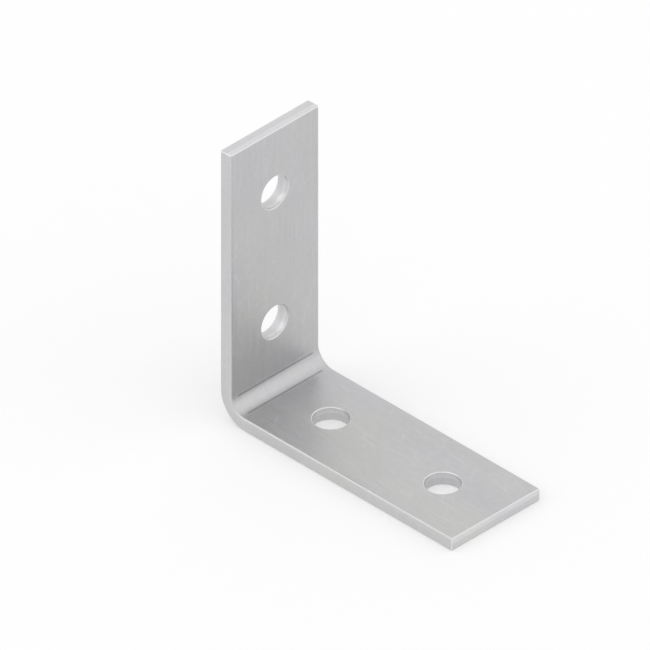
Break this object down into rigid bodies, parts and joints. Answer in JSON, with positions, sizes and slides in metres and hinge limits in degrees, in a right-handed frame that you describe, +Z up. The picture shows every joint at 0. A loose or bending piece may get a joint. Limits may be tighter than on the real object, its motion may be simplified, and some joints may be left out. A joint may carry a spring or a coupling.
{
  "type": "strut angle fitting",
  "caption": "Flat steel bar bent square, with round bolt holes in both legs, that joins two lengths of strut channel at a right angle.",
  "frame": {"origin": "on the underside of the base leg, midway between its two bolt holes", "axes": "+X along the base leg, from the heel to the toe; +Y across the bar; +Z up, along the upright leg"},
  "size_m": [0.105, 0.04, 0.105],
  "materials": {
    "zinc_plated_steel": "zinc plated, satin"
  },
  "bodies": {
    "root": {"angle_fitting": "zinc_plated_steel"}
  },
  "joints": []
}
